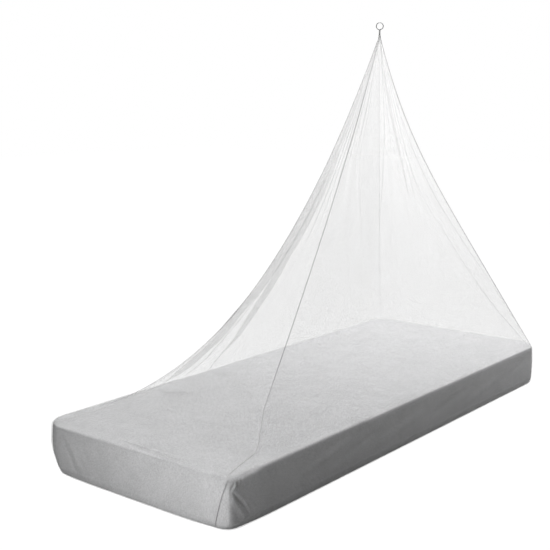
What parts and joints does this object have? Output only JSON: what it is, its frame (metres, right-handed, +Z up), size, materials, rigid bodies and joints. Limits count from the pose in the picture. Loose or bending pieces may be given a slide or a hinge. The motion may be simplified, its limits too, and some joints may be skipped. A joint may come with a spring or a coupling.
{
  "type": "mosquito net canopy with mattress",
  "caption": "Wedge-shaped mosquito net gathered at a hanging ring, with bound corner seams, falling over and tucked under a plain single mattress.",
  "frame": {"origin": "on the floor under the middle of the mattress", "axes": "+X along the mattress to the head end, over which the net is gathered; +Y to the left side seen from the foot end; +Z up"},
  "size_m": [1.9994, 0.8214, 1.469],
  "materials": {
    "net": "fine white polyester net, see-through",
    "tape": "matt woven binding tape",
    "sheet": "matt pale grey cotton sheet",
    "ring": "plain bright wire"
  },
  "bodies": {
    "root": {"mattress": "sheet", "net_panel_foot": "net", "net_panel_right": "net", "net_panel_head": "net", "net_panel_left": "net", "seam_foot_left": "tape", "seam_foot_right": "tape", "seam_head_right": "tape", "seam_head_left": "tape", "neck_binding": "tape", "hanging_loop": "tape", "hanging_ring": "ring"}
  },
  "joints": []
}
